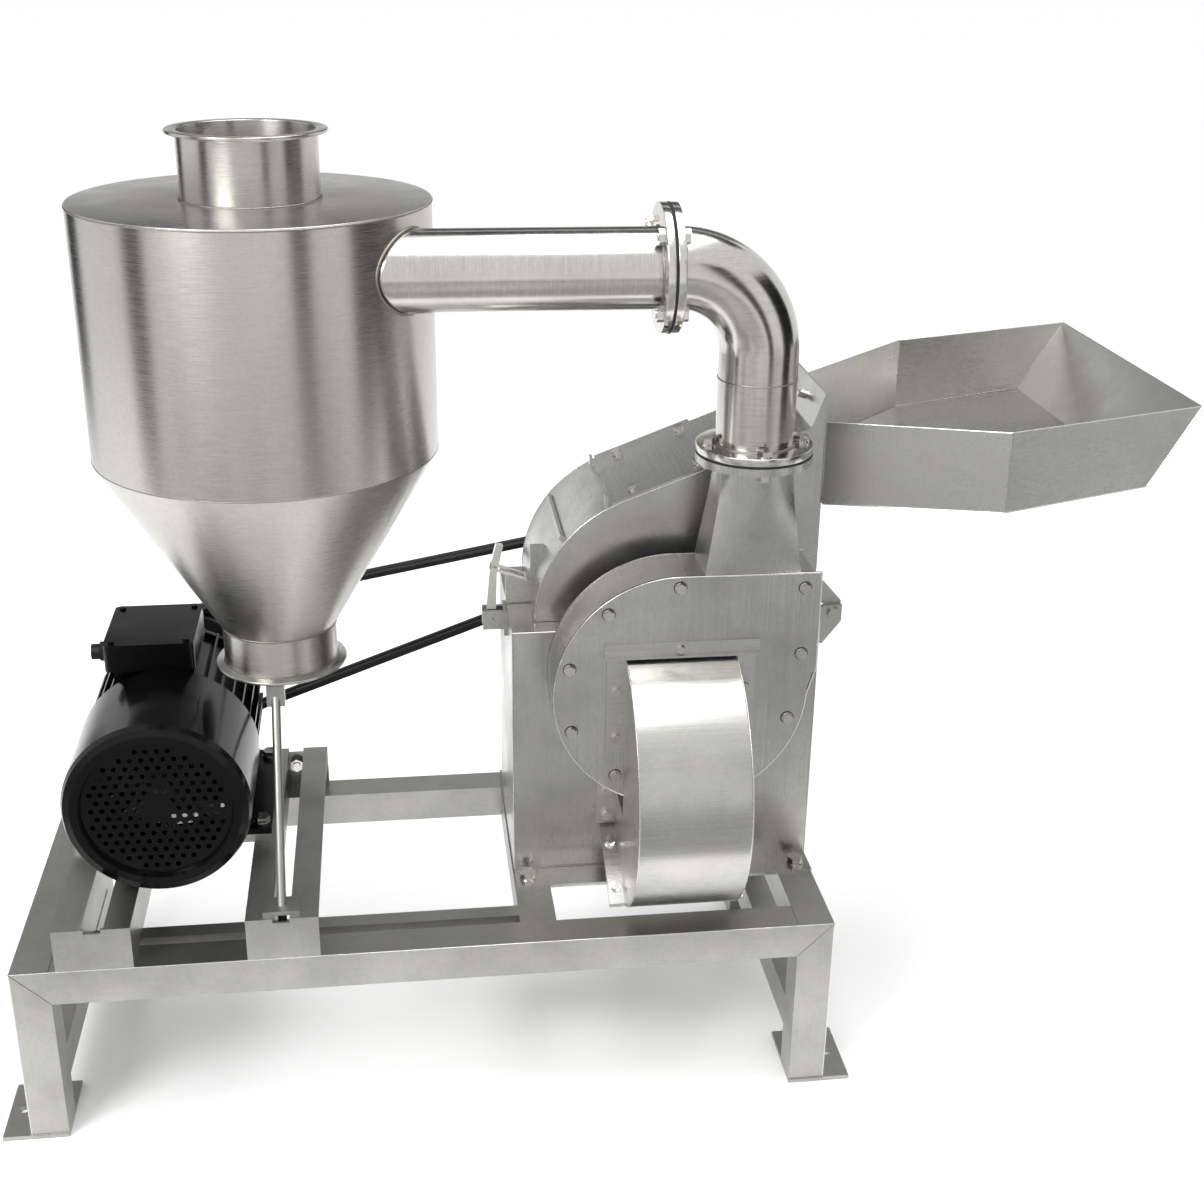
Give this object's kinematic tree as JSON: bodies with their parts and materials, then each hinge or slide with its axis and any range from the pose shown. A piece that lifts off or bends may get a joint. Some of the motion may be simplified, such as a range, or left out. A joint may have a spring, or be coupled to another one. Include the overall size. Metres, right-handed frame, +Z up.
{
  "type": "hammer mill",
  "caption": "Stainless hammer mill on a tube stand with a motor, V-belt drive, hinged hood with feed tray, suction fan, bent outlet pipe and cyclone separator",
  "frame": {"origin": "centre of the four floor bolt holes, on the floor", "axes": "+X runs along the stand from the motor end to the feed tray, +Y runs back to the belts, +Z is up"},
  "size_m": [1.6, 0.622, 1.299],
  "materials": {
    "stainless_satin": "brushed",
    "stainless_polished": "satin polished",
    "fastener_steel": "machined",
    "shaft_steel": "ground",
    "rotor_steel": "milled",
    "lamination_steel": "stacked",
    "motor_black_paint": "gloss",
    "cowl_black_paint": "gloss",
    "fan_plastic": "moulded",
    "gland_plastic": "moulded",
    "pulley_iron": "machined",
    "housing_iron": "cast",
    "belt_rubber": "matt",
    "gasket_rubber": "matt"
  },
  "bodies": {
    "stand": {"long_rails": "stainless_satin", "legs": "stainless_satin", "foot_plates": "stainless_satin", "side_rails": "stainless_satin", "side_stretchers": "stainless_satin", "frame_cross_members": "stainless_satin", "motor_rails": "stainless_satin", "belt_tension_bolts": "fastener_steel", "motor_frame": "motor_black_paint", "motor_stator": "lamination_steel", "motor_foot_bolts": "fastener_steel", "motor_fan_cowl": "cowl_black_paint", "motor_end_shields": "motor_black_paint", "terminal_box": "motor_black_paint", "terminal_lid": "motor_black_paint", "cable_gland": "gland_plastic", "v_belts": "belt_rubber", "mill_housing": "stainless_satin", "mill_base_bolts": "fastener_steel", "screen": "stainless_satin", "bearing_housings": "housing_iron", "bearings": "shaft_steel", "hinge_pin": "shaft_steel", "discharge_spout": "stainless_satin", "suction_duct": "stainless_satin", "duct_bolts": "fastener_steel", "eye_frame": "stainless_satin", "fan_casing": "stainless_satin", "fan_cover": "stainless_satin", "fan_cover_bolts": "fastener_steel", "outlet_transition": "stainless_satin", "flange_gaskets": "gasket_rubber", "elbow": "stainless_polished", "inlet_pipe": "stainless_polished", "flange_bolts": "fastener_steel", "cyclone_body": "stainless_polished", "cyclone_lid": "stainless_polished", "cyclone_neck": "stainless_polished", "discharge_collar": "stainless_polished", "support_rod": "stainless_satin", "latch_bracket": "stainless_satin"},
    "rotor": {"rotor_shaft": "shaft_steel", "rotor_discs": "rotor_steel", "hammer_pins": "shaft_steel", "fan_impeller": "rotor_steel", "mill_pulley": "pulley_iron"},
    "hammer_row_a": {"hammers_a": "rotor_steel"},
    "hammer_row_b": {"hammers_b": "rotor_steel"},
    "hammer_row_c": {"hammers_c": "rotor_steel"},
    "hammer_row_d": {"hammers_d": "rotor_steel"},
    "motor_rotor": {"motor_shaft": "shaft_steel", "motor_pulley": "pulley_iron", "motor_cooling_fan": "fan_plastic"},
    "hood_door": {"hood": "stainless_satin", "hood_cover_plate": "stainless_satin", "hood_bolts": "fastener_steel", "feed_tray": "stainless_satin"},
    "lever": {"latch_lever": "fastener_steel"},
    "bail": {"latch_bail": "fastener_steel"},
    "gate": {"feed_gate": "stainless_satin"}
  },
  "joints": [
    {"name": "rotor_spin", "type": "hinge", "parent": "stand", "child": "rotor", "pos_m": [0.338, 0.08, 0.642], "axis": [0, 1, 0], "continuous": true},
    {"name": "motor_spin", "type": "hinge", "parent": "stand", "child": "motor_rotor", "pos_m": [-0.355, 0.1, 0.451], "axis": [0, 1, 0], "continuous": true},
    {"name": "hammers_a_swing", "type": "hinge", "parent": "rotor", "child": "hammer_row_a", "pos_m": [0.40518, 0.078, 0.70917], "axis": [0, 1, 0], "range_deg": [-60, 60]},
    {"name": "hammers_b_swing", "type": "hinge", "parent": "rotor", "child": "hammer_row_b", "pos_m": [0.27082, 0.078, 0.70917], "axis": [0, 1, 0], "range_deg": [-60, 60]},
    {"name": "hammers_c_swing", "type": "hinge", "parent": "rotor", "child": "hammer_row_c", "pos_m": [0.27082, 0.078, 0.57483], "axis": [0, 1, 0], "range_deg": [-60, 60]},
    {"name": "hammers_d_swing", "type": "hinge", "parent": "rotor", "child": "hammer_row_d", "pos_m": [0.40518, 0.078, 0.57483], "axis": [0, 1, 0], "range_deg": [-60, 60]},
    {"name": "hood_hinge", "type": "hinge", "parent": "stand", "child": "hood_door", "pos_m": [0.58, 0.08, 0.636], "axis": [0, 1, 0], "range_deg": [0, 90]},
    {"name": "latch_lever_hinge", "type": "hinge", "parent": "stand", "child": "lever", "pos_m": [0.1, 0.05, 0.621], "axis": [0, -1, 0], "range_deg": [0, 100]},
    {"name": "latch_bail_hinge", "type": "hinge", "parent": "lever", "child": "bail", "pos_m": [0.104, 0.05, 0.697], "axis": [0, -1, 0], "range_deg": [0, 55]},
    {"name": "feed_gate_slide", "type": "slide", "parent": "hood_door", "child": "gate", "axis": [0, 0, -1], "range_m": [0, 0.06]}
  ],
  "couplings": [
    {"joint": "motor_spin", "follows": "rotor_spin", "ratio": 0.3542}
  ]
}
